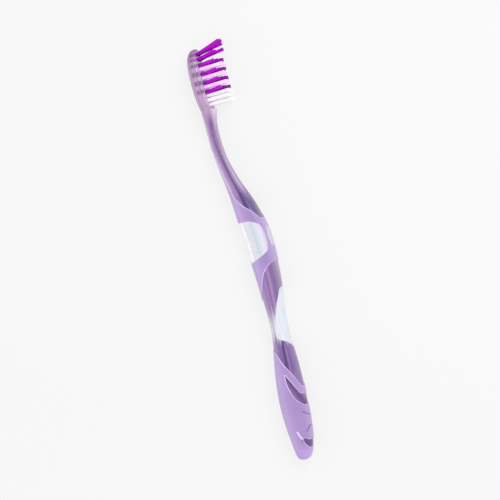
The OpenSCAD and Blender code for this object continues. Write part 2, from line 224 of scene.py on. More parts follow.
def mesh_object(name, points, faces):
    """A new object at the origin with its place in its mesh, faces outwards"""
    mesh = bpy.data.meshes.new(name)
    mesh.from_pydata([tuple(p) for p in points], [], faces)
    shell = bmesh.new()
    shell.from_mesh(mesh)
    bmesh.ops.remove_doubles(shell, verts=shell.verts, dist=MERGE_REACH)
    bmesh.ops.recalc_face_normals(shell, faces=shell.faces)
    shell.to_mesh(mesh)
    shell.free()
    made = bpy.data.objects.new(name, mesh)
    bpy.context.scene.collection.objects.link(made)
    return made


def skin(name, grid, closed=False):
    """A skin over rings of points, which gets end faces unless its last ring joins its first"""
    count, around = grid.shape[:2]
    faces = []
    for i in range(count if closed else count - 1):
        here, there = i * around, (i + 1) % count * around
        for k in range(around):
            after = (k + 1) % around
            faces.append((here + k, here + after, there + after, there + k))
    if not closed:
        faces += [tuple(range(around)), tuple(range((count - 1) * around, count * around))]
    return mesh_object(name, grid.reshape(-1, 3), faces)


def form(name, first, last, inset=0):
    """The brush's own form between two places"""
    return skin(name, rings(places(first, last), inset))


print("Skins merge points nearer than", MERGE_REACH, "m")

# %% [markdown]
# ## Outlines that cut straight through
# Where one plastic ends and the next begins is a line drawn on the side of the brush. The mould cuts it
# straight through the width, so each line becomes a prism, and a boolean modifier trims the skins with
# it. The manifold solver is used, because every skin here is closed and it is quick and exact on those.

# %% Outlines as shares of the sizes
FRONT, BACK = 1.3, -0.3
PALM_EDGE_SHARES = [
    [0.208, FRONT], [0.208, 1], [0.216, 0.93], [0.232, 0.85], [0.251, 0.74], [0.27, 0.58],
    [0.289, 0.42], [0.311, 0.25], [0.326, 0.05], [0.331, BACK],
]
THUMB_LOW_SHARES = [
    [0.446, BACK], [0.467, -0.04], [0.489, 0.06], [0.505, 0.18], [0.529, 0.31], [0.549, 0.45],
    [0.563, 0.62], [0.571, 0.77], [0.577, 0.92], [0.582, FRONT],
]
THUMB_HIGH_SHARES = [
    [0.702, FRONT], [0.707, 0.99], [0.717, 0.925], [0.733, 0.78], [0.75, 0.54], [0.77, 0.35],
    [0.79, 0.255], [0.813, 0.195], [0.835, 0.175], [0.865, 0.16], [0.897, 0.135], [0.93, 0.05],
    [0.95, BACK],
]
SIDE_WINDOW_SHARES = [
    [0.584, BACK], [0.586, 0.1], [0.59, 0.24], [0.596, 0.45], [0.603, 0.68], [0.61, 0.84],
    [0.621, 0.91], [0.641, 0.935], [0.667, 0.93], [0.685, 0.89], [0.695, 0.78], [0.702, 0.58],
    [0.706, 0.34], [0.707, 0.1], [0.708, BACK],
]
FRONT_WINDOW_SHARES = [
    [0.323, FRONT], [0.325, 1], [0.333, 0.95], [0.343, 0.83], [0.349, 0.67], [0.355, 0.5],
    [0.363, 0.39], [0.378, 0.36], [0.397, 0.41], [0.423, 0.54], [0.449, 0.68], [0.481, 0.86],
    [0.5, 0.96], [0.512, FRONT],
]
PALM_WINDOW_SHARES = [
    [[0.158, FRONT], [0.155, 0.99], [0.159, 0.89], [0.18, 0.675], [0.218, 0.5], [0.25, 0.455]],
    [[0.254, 0.47], [0.232, 0.64], [0.203, 0.82], [0.19, 0.93], [0.188, FRONT]],
]
BUTT_WINDOW_SHARES = [
    [[0.034, FRONT], [0.032, 0.97], [0.036, 0.86], [0.045, 0.73], [0.052, 0.67]],
    [[0.063, 0.66], [0.065, 0.73], [0.06, 0.83], [0.056, 0.93], [0.055, FRONT]],
]
print("The palm grip ends at", PALM_EDGE_SHARES[-1][0] * handle_len, "mm")

# %% Lines, prisms and cuts
OVERRUN = 2 * grip_d
EDGE_SPLITS = 8
NO_LENGTH = 1e-9


def side_line(shares, splits=EDGE_SPLITS):
    """A smooth line on the side of the brush, as place along and height in front of the base line"""
    shares = np.array(shares, float)
    along = shares[:, 0] * handle_len
    middle, depth = section(along)[:2]
    return smooth(np.stack([along, middle + (2 * shares[:, 1] - 1) * depth], axis=1), splits)


def grown(outline, gap):
    """The closed outline moved outwards by a clearance"""
    before, after = np.roll(outline, 1, axis=0), np.roll(outline, -1, axis=0)
    run = after - before
    normal = np.stack([run[:, 1], -run[:, 0]], axis=1)
    normal /= np.linalg.norm(normal, axis=1, keepdims=True) + NO_LENGTH
    area = np.sum(outline[:, 0] * after[:, 1] - after[:, 0] * outline[:, 1])
    return outline + normal * gap * np.sign(area)


def prism(outline):
    """An outline cut straight through the width"""
    ends = [placed(outline[:, 0], outline[:, 1], side) for side in (-OVERRUN, OVERRUN)]
    return skin("cutter", np.array(ends))


def cut(piece, cutter, how="DIFFERENCE"):
    """Trims a piece with a cutter, or joins them, and the cutter is then gone"""
    trim = piece.modifiers.new("trim", "BOOLEAN")
    trim.operation = how
    trim.solver = "MANIFOLD"
    trim.object = cutter
    shape = bpy.context.evaluated_depsgraph_get()
    old = piece.data
    piece.data = bpy.data.meshes.new_from_object(piece.evaluated_get(shape))
    piece.data.materials.clear()
    piece.modifiers.clear()
    bpy.data.meshes.remove(old)
    bpy.data.meshes.remove(cutter.data)
    return piece


palm_line = side_line(PALM_EDGE_SHARES)
thumb_line = np.vstack([side_line(THUMB_LOW_SHARES), side_line(THUMB_HIGH_SHARES)])
palm_outline = np.vstack([palm_line, [[-OVERRUN, -OVERRUN], [-OVERRUN, OVERRUN]]])
side_window = side_line(SIDE_WINDOW_SHARES)
front_window = side_line(FRONT_WINDOW_SHARES)
palm_window = np.vstack([side_line(edge) for edge in PALM_WINDOW_SHARES])
butt_window = np.vstack([side_line(edge) for edge in BUTT_WINDOW_SHARES])
print("Outlines:", [len(o) for o in (palm_outline, thumb_line, side_window, front_window)], "points")

# %% [markdown]
# ## Rows of tufts
# A tuft is a bundle of fine filaments, folded once and held in its hole by a plate. The sizes below are
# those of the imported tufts: rows from heel to toe, three or four tufts a row, leaning where the real ones
# lean. Part of a tuft stands in its hole, where it shows through the clear head.

# %% Where the tufts stand
TUFT_ROWS, WHITE_HEEL_ROWS, EVEN_ROWS = 12, 3, 10
toe_margin, row_pitch, toe_pitch, tuft_pitch = 2.8, 2.06, 2.34, 2.3
inner_len, outer_len, toe_len, toe_outer_len = 10.7, 7.7, 12.3, 8.4
outer_setback = 0.35
inner_lean, outer_lean, toe_lean = 2.5, 4.5, 17.5
TOE_LEAN_SHARES = [[0.45, 0.76], [0.52, 1]]
TOE_SPREAD_SHARE = 0.9
hole_d, hole_depth, tuft_gap = 1.75, 3, 0.05


def is_coloured(row):
    """Every second row after the white heel rows, and all rows of the toe"""
    return row > WHITE_HEEL_ROWS and (row % 2 == 0 or row > EVEN_ROWS)


def row_x(row):
    """Place of a row along the brush"""
    from_toe = toe_margin + (TUFT_ROWS - max(row, EVEN_ROWS)) * toe_pitch
    return brush_len - from_toe - max(EVEN_ROWS - row, 0) * row_pitch


def tufts_in(row):
    """Each tuft of a row: its place along the brush and to the side, its lean and its length"""
    count = 4 if row % 2 == 0 and row <= EVEN_ROWS else 3
    x = row_x(row)
    spread = tuft_pitch * (TOE_SPREAD_SHARE if row == TUFT_ROWS else 1)
    tufts = []
    for j in range(count):
        outer = j in (0, count - 1)
        lean, length, setback = 0, white_len, 0
        if is_coloured(row) and row <= EVEN_ROWS:
            lean = outer_lean if outer else -inner_lean
            length = outer_len if outer else inner_len
            setback = outer_setback if outer else 0
        elif is_coloured(row):
            lean = toe_lean * TOE_LEAN_SHARES[row - EVEN_ROWS - 1][int(outer)]
            length = toe_outer_len if outer and row < TUFT_ROWS else toe_len
        tufts.append((x - setback, (j - (count - 1) / 2) * spread, math.radians(lean), length))
    return tufts


print("Tufts:", sum(len(tufts_in(row)) for row in range(1, TUFT_ROWS + 1)))

# %% [markdown]
# ## A way to write materials
# Colours are chosen as the hex values that a screen shows, and the shader needs linear light, so one
# function turns them. Another adds a node with its settings and its links. It serves the materials and
# the bristles' Geometry Nodes tree alike, so each reads as a short list from the pattern to the surface.

# %% Colours and nodes
VECTOR_MATH, RANGE = "ShaderNodeVectorMath", "ShaderNodeMapRange"
RAMP, MIX, NOISE = "ShaderNodeValToRGB", "ShaderNodeMix", "ShaderNodeTexNoise"


def linear(code):
    """A hex colour as linear light with full alpha"""
    values = [int(code[i : i + 2], 16) / 255 for i in (1, 3, 5)]
    low, cut_off, shift, power = 12.92, 0.04045, 0.055, 2.4
    return [v / low if v <= cut_off else ((v + shift) / (1 + shift)) ** power for v in values] + [1]


def plug(tree, node, *values, **named):
    """Gives a node's sockets, in order or by name, a value or a link from another node's output"""
    for key, value in [*enumerate(values), *named.items()]:
        if isinstance(key, str):
            key = int(key[1:]) if key[1:].isdigit() else key.replace("_", " ")
        if isinstance(value, bpy.types.NodeSocket):
            tree.links.new(value, node.inputs[key])
        else:
            node.inputs[key].default_value = value


def add(tree, kind, *values, out=0, stops=(), **named):
    """Adds a node and returns one of its outputs. A name in small letters is a setting, and one with a
    capital or a number is a socket. A kind all in capitals is an operation of the Math node. A colour
    ramp has stops, as pairs of place and hex colour."""
    if kind.isupper():
        kind, named["operation"] = "ShaderNodeMath", kind
    made = tree.nodes.new(kind)
    for key, value in named.items():
        if key.islower():
            setattr(made, key, value)
    for k, (place, code) in enumerate(stops):
        elements = made.color_ramp.elements
        element = elements[k] if k < len(elements) else elements.new(1)
        element.position = place
        element.color = linear(code)
    plug(tree, made, *values, **{key: value for key, value in named.items() if not key.islower()})
    return made.outputs[out]


def new_material(name):
    """An empty material, its node tree and its Principled shader"""
    material = bpy.data.materials.new(name)
    material.use_nodes = True
    return material, material.node_tree, material.node_tree.nodes["Principled BSDF"]


print("Middle grey as linear light:", [round(v, 3) for v in linear("#808080")])

# %% [markdown]
# ## Patterns that follow the brush
# Tint and streaks run along a moulded handle, because the plastic flowed that way. So the patterns are
# read from the skin's own map, where one number runs from butt to toe and the other from back to front.
# Noise that is stretched along the first draws flow streaks, and a colour may turn into the next over a
# span of millimetres.

# %% Streaks, turns and shades
def skin_places(tree):
    """The skin's own map: u runs along the brush and v from its back to its front"""
    uv = add(tree, "ShaderNodeUVMap", uv_map="skin")
    parts = add(tree, "ShaderNodeSeparateXYZ", uv).node.outputs
    return parts["X"], parts["Y"]


def streaks(tree, along, across, run, count, seed):
    """Flow streaks, as noise with this many cells along the whole brush and across it"""
    longways = add(tree, "MULTIPLY", along, run)
    sideways = add(tree, "MULTIPLY", across, count)
    spot = add(tree, "ShaderNodeCombineXYZ", longways, sideways, seed)
    return add(tree, NOISE, spot, Scale=1.0)


def turned(tree, along, span, before, after):
    """One colour that turns smoothly into another over a span along the brush, in millimetres"""
    first, last = span[0] / brush_len, span[1] / brush_len
    amount = add(tree, RANGE, along, first, last, interpolation_type="SMOOTHSTEP")
    return add(tree, MIX, amount, _6=before, _7=after, data_type="RGBA", out=2)


def shaded(tree, colour, amount, span, shades):
    """A colour that gets lighter and darker, from the first shade to the last, as the amount changes"""
    shade = add(tree, RANGE, amount, *span, *shades)
    return add(tree, VECTOR_MATH, colour, Scale=shade, operation="SCALE")


def moved(tree, place, flow, reach):
    """A place that wanders with the flow streaks, up to half of reach either way"""
    wander = add(tree, RANGE, flow, To_Min=-reach / 2, To_Max=reach / 2)
    return add(tree, "ADD", place, wander)


print("One cell of noise with a run of 10 is", round(brush_len / 10, 1), "mm long")

# %% [markdown]
# ## The tinted see-through plastic of head and neck
# It is an injection-moulded copolyester: hard, glossy and clear, with a lilac tint. Light runs through
# it, so thin edges look pale and the thick middle of the neck looks dark: this light and shade is painted
# into its tint, with a few painted highlight lines. The pattern follows the skin's own map, so that the
# dark band of painted shade runs along the neck. The head shows the dark roots of its coloured rows.
# The streaks are drawn wider than the real ones, which would be too fine to show.

# %% The head's tint
CREST_SPAN = (-0.8, 0.7)


def crests(tree, along, apart):
    """A wave along the head that is highest at the coloured rows, which are this far apart"""
    turns = 2 * math.pi * brush_len / apart
    phase = -turns * row_x(EVEN_ROWS) / brush_len
    wave = add(tree, "MULTIPLY_ADD", along, turns, phase)
    return add(tree, "COSINE", wave)


def head_tint(tree, along, across):
    """The head's tint, with the dark roots of the coloured rows that show through the plastic"""
    clear = add(tree, RAMP, across, stops=[
        (0.0, "#dccae2"), (0.14, "#dcc2e2"), (0.28, "#ccaad4"), (0.56, "#ddbce3"), (0.7, "#d2acd7"),
        (0.85, "#ecd0f2"), (1.0, "#fff0ff"),
    ])
    toe = add(tree, RAMP, across, stops=[
        (0.0, "#d0a2d4"), (0.25, "#c884ce"), (0.6, "#c884d0"), (0.8, "#d890e2"),
    ])
    tint = turned(tree, along, (row_x(EVEN_ROWS), row_x(TUFT_ROWS)), clear, toe)
    in_toe = add(tree, "GREATER_THAN", along, row_x(EVEN_ROWS) / brush_len)
    even, fanned = [crests(tree, along, apart) for apart in (2 * row_pitch, toe_pitch)]
    crest = add(tree, MIX, in_toe, _2=even, _3=fanned)
    in_row = add(tree, RANGE, crest, *CREST_SPAN, interpolation_type="SMOOTHSTEP")
    heel, past = [row_x(row) / brush_len for row in (WHITE_HEEL_ROWS, WHITE_HEEL_ROWS + 1)]
    past_heel = add(tree, RANGE, along, heel, past)
    root = add(tree, RAMP, across, stops=[
        (0.24, "#000000"), (0.41, "#c0c0c0"), (0.51, "#ffffff"), (0.6, "#808080"), (0.69, "#f0f0f0"),
        (0.78, "#ffffff"), (0.92, "#a0a0a0"),
    ])
    spot = add(tree, "MULTIPLY", in_row, root)
    spot = add(tree, "MULTIPLY", spot, past_heel)
    return add(tree, MIX, spot, _6=tint, _7=linear("#884c90"), data_type="RGBA", out=2)


# %% Head and neck plastic
THIN_SPAN, FAR_SPAN, HEAD_SPAN = (118, 129), (138, 150), (156, 164)


def neck_plastic():
    """Copolyester, moulded: glossy, its pale edges and dark middle band painted light and shade"""
    material, tree, shader = new_material("tinted_copolyester_moulded")
    along, across = skin_places(tree)
    flow = streaks(tree, along, across, run=14, count=22, seed=1)
    level = moved(tree, across, flow, reach=0.03)
    # The ramps across paint the light through the plastic: pale edges, highlight lines and a dark band of
    # shade
    thick = add(tree, RAMP, level, stops=[
        (0.0, "#cdb8de"), (0.42, "#b698cf"), (0.52, "#9c7fba"), (0.6, "#60468a"), (0.69, "#5c448a"),
        (0.8, "#775ca5"), (1.0, "#8a74a6"),
    ])
    thin = add(tree, RAMP, level, stops=[
        (0.2, "#d2bce2"), (0.28, "#eed6fa"), (0.34, "#c29fd7"), (0.52, "#b290ca"), (0.64, "#5e367a"),
        (0.71, "#582f77"), (0.82, "#c4a2d8"), (0.89, "#e6cef4"), (1.0, "#a08fae"),
    ])
    far = add(tree, RAMP, level, stops=[
        (0.0, "#dccbe6"), (0.2, "#ecd4fa"), (0.3, "#c8a4da"), (0.6, "#8c62a2"), (0.75, "#8c64a2"),
        (0.89, "#d6b6e4"), (1.0, "#cab8d0"),
    ])
    tint = turned(tree, along, THIN_SPAN, thick, thin)
    tint = turned(tree, along, FAR_SPAN, tint, far)
    tint = turned(tree, along, HEAD_SPAN, tint, head_tint(tree, along, across))
    fine = streaks(tree, along, across, run=6, count=10, seed=3)
    both = add(tree, "ADD", fine, flow)
    streaked = shaded(tree, tint, both, span=(0.75, 1.25), shades=(0.74, 1.08))
    plug(
        tree, shader, Base_Color=streaked, Roughness=0.25, Specular_IOR_Level=0.35, IOR=1.57,
        Transmission_Weight=0.35,
    )
    return material


NECK = neck_plastic()
print(NECK.name, len(NECK.node_tree.nodes), "nodes")

# %% [markdown]
# ## The darker plastic of the handle core
# The second shot is the same kind of plastic in a deeper purple. It was pushed through a narrow gate, so
# long streaks of lighter and darker tint run down the handle. Stretched noise on the skin's map draws
# them, coarser than the real ones so that they show. Between the grips the core is painted pale, as the
# light that the clear window in its front lets in. In the palm window a dark band of painted shade slants
# across it beside the grip's edge, and the bands across the rest of the core are partly painted highlight
# and shade.

# %% Core plastic
DEEP_SPAN, PALE_SPAN, HIGH_SPAN = (37, 41), (53, 59), (60, 71)
SLANT_SPAN, SLANT_SHARES = (18, 40), (-0.41, 0.34)


def core_plastic():
    """Copolyester, moulded in a deeper tint: glossier, with long streaks from the gate"""
    material, tree, shader = new_material("deep_tinted_copolyester_moulded")
    along, across = skin_places(tree)
    flow = streaks(tree, along, across, run=5, count=15, seed=5)
    level = moved(tree, across, flow, reach=0.08)
    spot = moved(tree, along, flow, reach=0.08)
    slant_places = [x / brush_len for x in SLANT_SPAN]
    slant = add(tree, RANGE, along, *slant_places, *SLANT_SHARES)
    # In the palm windows: a dark band of painted shade beside the grip's edge, with a painted highlight
    # streak
    painted_window_shade = add(tree, RAMP, add(tree, "ADD", level, slant), stops=[
        (0.56, "#785494"), (0.62, "#967cb2"), (0.7, "#8868a4"), (0.78, "#6a4a86"), (0.84, "#7a5a96"),
        (0.92, "#9a7cb6"),
    ])
    # Between the windows: bands across, partly painted highlight and shade
    deep = add(tree, RAMP, level, stops=[
        (0.2, "#b49ccc"), (0.44, "#8868ac"), (0.52, "#8e6cae"), (0.59, "#5c3c80"), (0.66, "#6c4a90"),
        (0.72, "#a07ebc"), (0.79, "#7c5a9c"), (0.94, "#9a84bc"),
    ])
    # Between the grips: pale as painted light let in by the clear window, with fine streaks and thin lines
    fine = streaks(tree, along, across, run=3, count=60, seed=8)
    thread = add(tree, RAMP, fine, stops=[(0.34, "#c4b6da"), (0.42, "#f4f0fc"), (0.6, "#ffffff")])
    body = add(tree, RAMP, level, stops=[
        (0.1, "#f8f4ff"), (0.12, "#8c78b4"), (0.14, "#f8f4ff"), (0.27, "#f8f4ff"), (0.29, "#907cb8"),
        (0.31, "#fcfaff"),
    ])
    pale = add(tree, VECTOR_MATH, thread, body, operation="MULTIPLY")
    # Further up the handle: bands across, partly painted highlight and shade
    high = add(tree, RAMP, level, stops=[
        (0.0, "#dcd2e6"), (0.2, "#b8a0c8"), (0.36, "#a080b8"), (0.44, "#ae8ec6"), (0.52, "#8a68a4"),
        (0.62, "#b492cc"), (0.73, "#906eac"), (0.8, "#8a6aa6"), (0.96, "#a892bc"),
    ])
    tint = turned(tree, along, DEEP_SPAN, painted_window_shade, deep)
    tint = turned(tree, spot, PALE_SPAN, tint, pale)
    tint = turned(tree, spot, HIGH_SPAN, tint, high)
    streaked = shaded(tree, tint, flow, span=(0.3, 0.7), shades=(0.9, 0.99))
    plug(
        tree, shader, Base_Color=streaked, Roughness=0.12, Specular_IOR_Level=0.35, IOR=1.57,
        Transmission_Weight=0.2,
    )
    return material


CORE = core_plastic()
print(CORE.name, len(CORE.node_tree.nodes), "nodes")

# %% [markdown]
# ## The clear plastic of block and window
# These two pieces are colourless. A moulded clear block isn't empty glass: it picks up the pale room, a
# hint of blue and faint flow lines. So it lets most light through and keeps a little pale body colour, in
# which the block's facets carry painted reflections of the room and a painted highlight along its back. A
# very faint painted glow stands for the light that a clear piece carries from its far side to the eye.

# %% Clear plastic
BLOCK_SPAN = (86, 88)


def clear_plastic():
    """Copolyester, moulded without tint: the glossiest, with faint bluish flow lines"""
    material, tree, shader = new_material("clear_copolyester_moulded")
    along, across = skin_places(tree)
    flow = streaks(tree, along, across, run=10, count=16, seed=9)
    level = moved(tree, across, flow, reach=0.1)
    window = add(tree, RAMP, flow, stops=[
        (0.3, "#dfe2f0"), (0.45, "#eff0f6"), (0.55, "#e0e4f2"), (0.7, "#edeef6"),
    ])
    # The block's facets: a painted highlight near the back, then painted reflections of the pale room
    facet = add(tree, RAMP, level, stops=[
        (0.25, "#ffffff"), (0.29, "#dcdee8"), (0.44, "#d8dce6"), (0.54, "#c8d3de"), (0.65, "#d8e1e9"),
        (0.8, "#ece4f4"), (1.0, "#c8bed8"),
    ])
    plug(
        tree, shader, Base_Color=turned(tree, along, BLOCK_SPAN, window, facet), Roughness=0.05, IOR=1.57,
        Transmission_Weight=0.3, Emission_Color=linear("#eef0ff"), Emission_Strength=0.05,
    )
    return material


CLEAR = clear_plastic()
print(CLEAR.name, len(CLEAR.node_tree.nodes), "nodes")

# %% [markdown]
# ## The soft grip
# The lilac grips are a thermoplastic elastomer, moulded over the hard core in a lightly textured mould.
# That gives the eye a satin surface with a fine grain, about 0.3 mm from peak to peak, and no sharp
# highlights. Light and shade across a grip are painted into its tint. The lip along each edge catches
# more light, so it gets a paler tint, a painted highlight.

# %% Elastomers
GRAIN, GRAIN_DEPTH, CLOUD = 0.3, 0.02, 11
BUTT_SPAN, TAIL_SPAN = (2, 9), (116, 128)


def soft_grip(name, stops, butt, tail):
    """Thermoplastic elastomer: satin, softly clouded and grained, with its own tints at both ends"""
    material, tree, shader = new_material(name)
    along, across = skin_places(tree)
    place = add(tree, "ShaderNodeTexCoord", out="Object")
    clouds = add(tree, NOISE, place, Scale=1 / (CLOUD * MM), Detail=3.0)
    tint = turned(tree, along, BUTT_SPAN, linear(butt), add(tree, RAMP, across, stops=stops))
    tint = turned(tree, along, TAIL_SPAN, tint, linear(tail))
    grain = add(tree, NOISE, place, Scale=1 / (GRAIN * MM))
    bump = add(tree, "ShaderNodeBump", Height=grain, Strength=0.25, Distance=GRAIN_DEPTH * MM)
    plug(
        tree, shader, Base_Color=shaded(tree, tint, clouds, span=(0.35, 0.65), shades=(0.91, 0.97)),
        Normal=bump, Roughness=0.42, IOR=1.5, Sheen_Weight=0.15,
    )
    return material


# The body of a grip, from the textured part of the mould; lighter at the back as painted light and shade
GRIP = soft_grip("elastomer_textured", [
    (0.0, "#bca6d9"), (0.22, "#bea5da"), (0.4, "#b093ce"), (0.64, "#a388c0"), (0.82, "#a288bf"),
    (1.0, "#b49ace"),
], "#bca0de", "#b8a0cb")
# Its lips, paler as a painted highlight on the raised edge
LIP = soft_grip("elastomer_lip_painted_highlight", [
    (0.0, "#cdb4e6"), (0.54, "#e0ccf6"), (0.68, "#cdb4e6"), (1.0, "#c4a9df"),
], "#cdb4e6", "#dcc4ee")
print(GRIP.name, "and", LIP.name, len(GRIP.node_tree.nodes), "nodes each")

# %% [markdown]
# ## Nylon filaments and the metal plates
# A bristle is drawn nylon: smooth, slightly clear and cut clean at the tip. The coloured ones look darkest
# where they crowd into the head and bright where light gets between them, so their tint follows their
# height, which each filament carries as an attribute: painted shade low down, painted light above. A
# filament also carries light from its tip down, like a light guide, and a faint painted glow stands for
# that. The plates are rolled nickel silver.

# %% Nylon and metal
SCATTER, ROLL_GRAIN = 0.3, 0.2


def nylon(name, stops, clarity, glow_through, carried):
    """Drawn nylon: smooth, satin, its tint painted shade and light by height, with a painted glow"""
    material, tree, shader = new_material(name)
    tone = add(tree, "ShaderNodeAttribute", attribute_name="tone", out="Fac")
    plug(
        tree, shader, Base_Color=add(tree, RAMP, tone, stops=stops), Roughness=0.4, IOR=1.53,
        Specular_IOR_Level=0.1, Transmission_Weight=clarity, Subsurface_Weight=glow_through,
        Subsurface_Radius=[SCATTER * MM] * 3, Subsurface_Scale=1.0,
        Emission_Color=linear(stops[-1][1]), Emission_Strength=carried,
    )
    return material


def rolled_metal():
    """Nickel silver, rolled: grey metal with a fine grain that is now brighter, now duller"""
    material, tree, shader = new_material("nickel_silver_rolled")
    place = add(tree, "ShaderNodeTexCoord", out="Object")
    grain = add(tree, NOISE, place, Scale=1 / (ROLL_GRAIN * MM))
    tint = add(tree, RAMP, grain, stops=[(0.35, "#b9b3a6"), (0.65, "#cfcabf")])
    rough = add(tree, RANGE, grain, To_Min=0.25, To_Max=0.4)
    plug(tree, shader, Base_Color=tint, Roughness=rough, Metallic=1.0)
    return material


# White nylon, bright and even, a little darker at the root as painted shade
WHITE = nylon("nylon_white_drawn", [
    (0.0, "#e8dcec"), (0.3, "#f2ebf5"), (1.0, "#efeef0"),
], clarity=0, glow_through=0, carried=0.12)
# The same between coloured rows, with painted rosy light cast on it by them
ROSE = nylon("nylon_white_drawn_lit_by_magenta", [
    (0.0, "#f0c8f6"), (0.5, "#eecbf6"), (1.0, "#ecd0f4"),
], clarity=0, glow_through=0, carried=0.26)
# Magenta nylon: painted shade at the root and where long tufts rise from behind short ones, vivid between
COLOURED = nylon("nylon_magenta_drawn", [
    (0.0, "#4c0470"), (0.16, "#7a0a98"), (0.36, "#b40eca"), (0.7, "#d00ee2"), (0.75, "#c010d6"),
    (0.8, "#8c10a0"), (0.96, "#9c1caa"),
], clarity=0.15, glow_through=0.3, carried=0.04)
METAL = rolled_metal()
print("Materials:", [m.name for m in bpy.data.materials])

# %% [markdown]
# ## Finishing a moulded piece
# Every moulded piece gets the same three last steps: the skin's map, smooth shading that stops at real
# edges, and its material. The map is worked out from where each corner lies on the brush, so that it
# stays true however the piece was trimmed.

# %% One function that finishes a piece
SHARP = math.radians(28)


def finish_piece(piece, material=None):
    """Gives a piece its map, its shading and, where it has none yet, its material"""
    mesh = piece.data
    points = np.empty(3 * len(mesh.vertices))
    mesh.vertices.foreach_get("co", points)
    points = points.reshape(-1, 3)
    along = (points[:, 0] - butt_x) / MM
    middle, depth = section(along)[:2]
    height = (base_y - points[:, 1]) / MM
    across = (height - middle + depth) / (2 * depth + MM)
    corners = np.empty(len(mesh.loops), int)
    mesh.loops.foreach_get("vertex_index", corners)
    spots = np.stack([along / brush_len, across], axis=1)[corners]
    mesh.uv_layers.new(name="skin").data.foreach_set("uv", spots.ravel())
    if material is not None:
        mesh.materials.append(material)
    mesh.shade_smooth()
    mesh.set_sharp_from_angle(angle=SHARP)
    print(piece.name, len(mesh.polygons), "faces")
    return piece


print("Edges sharper than", round(math.degrees(SHARP)), "degrees stay sharp")

# %% [markdown]
# ## The head and neck
# One moulding: the flat bristle face with its blind holes, the neck, and a socket under the thumb grip.
# The skin is made first, then the face is planed and the holes are drilled along each tuft's own lean.
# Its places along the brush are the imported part's own, so that it meets its neighbours as they do there.

# %% Bars and tenons
shot_gap, grip_t, grip_proud = 0.05, 1.2, 0.25
bed_t = grip_t + shot_gap
BLOCK_END_SHARES, TENON_END_SHARES = (0.583, 0.709), (0.513, 0.782)
block_start, block_end = [share * handle_len for share in BLOCK_END_SHARES]
core_tenon_x, neck_tenon_x = [share * handle_len for share in TENON_END_SHARES]
core_tenon_d, neck_tenon_d = 3.6, 3.2
ROUND = 32


def tube(start, end, diameter):
    """A round bar between two points given as place, height and side"""
    start, end = [Vector(placed(*p)) for p in (start, end)]
    turn = (end - start).to_track_quat("Z", "Y")
    angles = [2 * math.pi * k / ROUND for k in range(ROUND)]
    rim = [Vector((math.cos(a), math.sin(a), 0)) * diameter / 2 * MM for a in angles]
    return skin("bar", np.array([[centre + turn @ r for r in rim] for centre in (start, end)]))


def tenon(first, last, diameter):
    """A round bar along the brush's middle line"""
    return tube(*[(x, float(section(x)[0]), 0) for x in (first, last)], diameter)


print("Thumb block from", block_start, "to", block_end, "mm")

# %% Head and neck
FLUSH_SHARE, STEP_RUN_SHARE, STEP_RISE_SHARE = 0.1, 0.12, 0.5
neck_places = places(block_end + shot_gap, brush_len)
flush = np.clip((handle_len - neck_places) / (FLUSH_SHARE * handle_len), 0, 1)
heel = row_x(1) - hole_d
step_x = heel - STEP_RUN_SHARE * head_t
face_cut = np.array([
    [heel, face_rise], [step_x, face_rise + STEP_RISE_SHARE * head_t],
    [step_x, OVERRUN], [brush_len + OVERRUN, OVERRUN], [brush_len + OVERRUN, face_rise],
])
head = skin("head_and_neck_moulding", rings(neck_places, grip_proud * flush))
cut(head, prism(grown(thumb_line, shot_gap)))
cut(head, form("bed", block_end + shot_gap, handle_len, bed_t), "UNION")
cut(head, tenon(block_end - shot_gap, neck_tenon_x, neck_tenon_d + 2 * shot_gap))
cut(head, prism(face_cut))
for row in range(1, TUFT_ROWS + 1):
    for x, side, lean, length in tufts_in(row):
        ends = [
            (x + reach * math.sin(lean), face_rise + reach * math.cos(lean), side)
            for reach in (-hole_depth, head_t / 2)
        ]
        cut(head, tube(*ends, hole_d))
finish_piece(head, NECK)

# %% [markdown]
# ## The handle core
# The core lies sunk under the soft grips and comes up to the surface between them and in the windows of
# the palm grip. So it is the sunk form joined with the lands that show, less the bed of the front window.
# That window is a piece of its own, cut from the same form by the same line.

# %% Handle core
core = form("handle_core_moulding", bed_t, block_start, bed_t)
land = form("land", bed_t, block_start, grip_proud)
cut(land, prism(grown(palm_outline, shot_gap)))
cut(land, prism(grown(thumb_line, shot_gap)))
cut(core, land, "UNION")
for window in (palm_window, butt_window):
    patch = cut(form("patch", bed_t, block_start, grip_proud), prism(grown(window, -shot_gap)), "INTERSECT")
    cut(core, patch, "UNION")
cut(core, prism(grown(front_window, shot_gap)))
cut(core, tenon(core_tenon_x, block_start + bed_t, core_tenon_d + 2 * shot_gap))
finish_piece(core, CORE)

# %% Front window
window_insert = form("front_window_insert", bed_t, block_start, grip_proud)
cut(window_insert, prism(front_window), "INTERSECT")
finish_piece(window_insert, CLEAR)

# %% [markdown]
# ## The clear thumb block
# It is the one piece with flat facets, so its section is an eight-sided outline, not an oval. Its long
# edges get a small bevel before it is trimmed: a moulded edge is never quite sharp, and the bevel is what
# draws the bright line along the block in the photograph.

# %% Thumb block
BLOCK_SHARES = np.array([[0, 0.68], [0.15, 1], [0.97, 1], [1, 0.86]])
BLOCK_SUNK_SHARE = 1.25
OPENING_PLACE_SHARE, OPENING_LENGTH_SHARE = 0.651, 0.031
front_opening_w = 4.3
facet_round = 0.35


